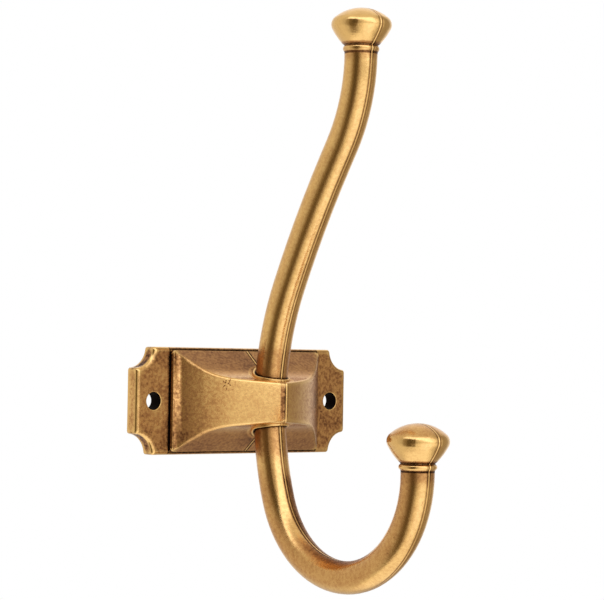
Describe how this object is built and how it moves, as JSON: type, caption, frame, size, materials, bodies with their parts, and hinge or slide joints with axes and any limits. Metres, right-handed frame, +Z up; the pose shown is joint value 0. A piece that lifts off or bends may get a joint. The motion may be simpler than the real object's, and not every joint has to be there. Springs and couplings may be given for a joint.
{
  "type": "double robe hook",
  "caption": "Wall-mounted double robe hook cast in one piece: notched backplate, flared saddle and a round bar with a tall upper prong and a deep lower bowl, each ending in a turned knob.",
  "frame": {"origin": "middle of the backplate's back face, on the wall plane", "axes": "+Y into the wall, +X along the backplate to the viewer's right, +Z up the wall; the bar lies in the plane X = 0 and stands out towards -Y"},
  "size_m": [0.0758, 0.0847, 0.1578],
  "materials": {
    "antique_brass": "antique brass, satin, dark patina left in the hollows and rubbed bright on the edges"
  },
  "bodies": {
    "root": {"hook_casting": "antique_brass"}
  },
  "joints": []
}
